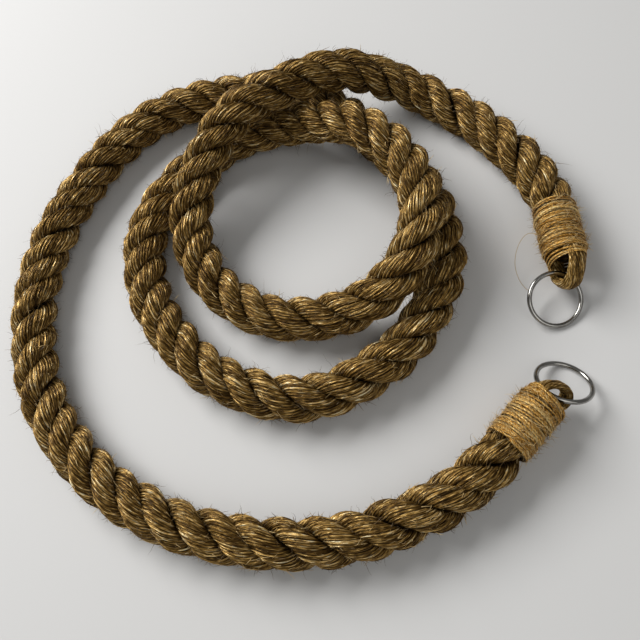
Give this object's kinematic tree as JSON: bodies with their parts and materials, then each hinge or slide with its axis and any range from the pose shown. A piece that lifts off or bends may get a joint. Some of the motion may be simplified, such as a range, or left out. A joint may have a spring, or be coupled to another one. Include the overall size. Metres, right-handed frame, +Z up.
{
  "type": "barrier rope with end rings",
  "caption": "Thick three-strand twisted barrier rope lying in loose loops, each end whipped with twine and closed by an eye holding a round steel ring.",
  "frame": {"origin": "on the supporting surface, under the middle of the rope's bounding box", "axes": "+Z up from the surface; +X along the longer side of the coiled rope, towards the side where both ringed ends lie; +Y from the rope's first loop at end B towards its far side"},
  "size_m": [0.3829, 0.3596, 0.0629],
  "materials": {
    "rope_fibre": "coarse natural bast fibre, golden brown with dark grooves and loose hairs",
    "twine": "fine natural twine in tight turns, brighter and more golden than the rope",
    "ring_steel": "plain nickel-plated steel wire, lightly worn"
  },
  "bodies": {
    "rope": {"rope": "rope_fibre", "whipping_a": "twine", "whipping_b": "twine", "eye_a": "rope_fibre", "eye_b": "rope_fibre"},
    "ring_a": {"ring_a": "ring_steel"},
    "ring_b": {"ring_b": "ring_steel"}
  },
  "joints": [
    {"name": "ring_a_flip", "type": "hinge", "parent": "rope", "child": "ring_a", "pos_m": [0.17533, -0.00872, 0.01249], "axis": [-0.8415, 0.4103, 0.3514], "range_deg": [0, 110]},
    {"name": "ring_b_flip", "type": "hinge", "parent": "rope", "child": "ring_b", "pos_m": [0.15245, -0.08597, 0.01759], "axis": [0.6643, -0.719, 0.2043], "range_deg": [0, 110]}
  ]
}
